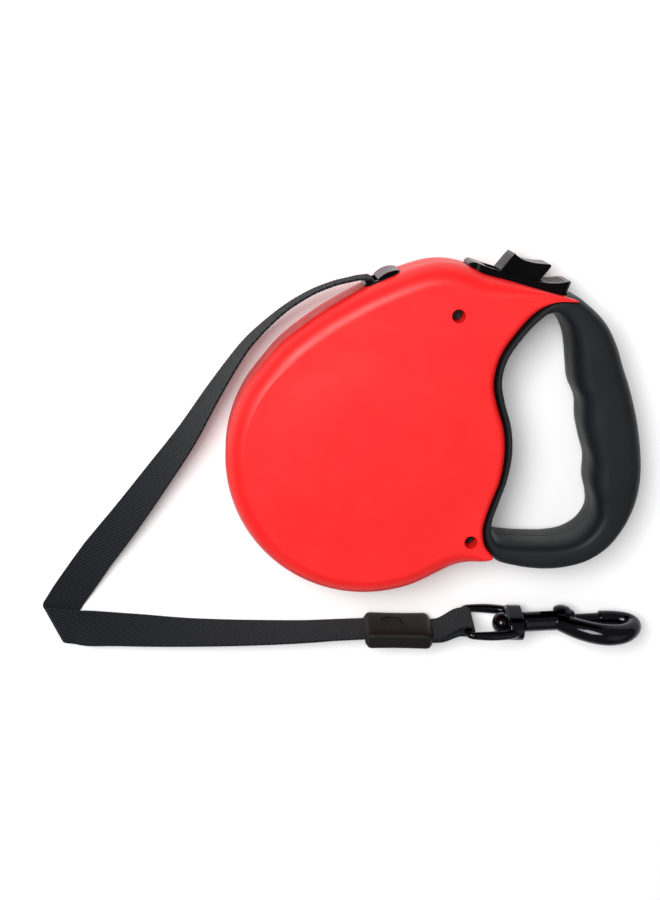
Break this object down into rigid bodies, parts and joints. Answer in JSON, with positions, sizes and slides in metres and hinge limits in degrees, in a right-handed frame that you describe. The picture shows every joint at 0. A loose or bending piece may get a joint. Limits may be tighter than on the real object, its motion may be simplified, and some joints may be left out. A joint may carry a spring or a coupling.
{
  "type": "retractable tape leash",
  "caption": "Retractable tape leash: spring reel in a two-part case with a looped hand grip, thumb brake, flat webbing with keeper and swivel snap hook.",
  "frame": {"origin": "on the plane the case lies on, where the reel's axis meets it", "axes": "+Z along the reel's axis, up through the case; +X from the reel towards the hand grip; +Y towards the thumb button"},
  "size_m": [0.2564, 0.1738, 0.036],
  "materials": {
    "case_red": "satin",
    "grip_black": "soft touch",
    "core_red": "moulded",
    "trim_black": "satin",
    "steel": "zinc plated",
    "reel_white": "moulded",
    "webbing": "twill weave",
    "keeper_black": "moulded",
    "black_nickel": "polished black nickel"
  },
  "bodies": {
    "case": {"front_shell": "case_red", "back_shell": "case_red", "grip_front": "grip_black", "grip_back": "grip_black", "handle_core": "core_red", "tape_guide": "trim_black", "button_bezel": "trim_black", "case_screws": "steel", "axle": "steel", "thrust_washers": "reel_white", "tape_inner_run": "webbing", "tape": "webbing", "keeper": "keeper_black"},
    "reel": {"reel_drum": "reel_white", "spring_cover": "steel", "power_spring": "steel", "tape_winding": "webbing", "tape_anchor_pin": "steel"},
    "brake_carriage": {"brake_pawl": "steel", "brake_spring": "steel"},
    "thumb": {"thumb_button": "trim_black"},
    "eye": {"swivel_eye": "black_nickel"},
    "hook": {"hook_body": "black_nickel", "swivel_rivet": "black_nickel", "bolt_spring": "steel"},
    "bolt": {"snap_bolt": "black_nickel", "bolt_knob": "black_nickel"}
  },
  "joints": [
    {"name": "reel_spin", "type": "hinge", "parent": "case", "child": "reel", "pos_m": [0, 0, 0], "axis": [0, 0, 1], "range_deg": [-510, 7560], "deforming": ["power_spring"]},
    {"name": "brake_press", "type": "slide", "parent": "case", "child": "brake_carriage", "axis": [-0.2317, -0.9728, 0], "range_m": [0, 0.0035], "stiffness_N_per_m": 600, "springref_m": -0.003, "deforming": ["brake_spring"]},
    {"name": "lock_slide", "type": "slide", "parent": "brake_carriage", "child": "thumb", "axis": [-0.9728, 0.2317, 0], "range_m": [0, 0.004]},
    {"name": "eye_pivot", "type": "hinge", "parent": "case", "child": "eye", "pos_m": [0.0474, -0.07525, 0.01199], "axis": [0, -0.2419, 0.9703], "range_deg": [-10, 30]},
    {"name": "hook_swivel", "type": "hinge", "parent": "eye", "child": "hook", "pos_m": [0.068, -0.07525, 0.01199], "axis": [0.9945, 0.0253, -0.1014], "continuous": true},
    {"name": "bolt_slide", "type": "slide", "parent": "hook", "child": "bolt", "axis": [-0.9945, -0.0253, 0.1014], "range_m": [0, 0.008], "stiffness_N_per_m": 250, "springref_m": -0.004, "deforming": ["bolt_spring"]}
  ]
}
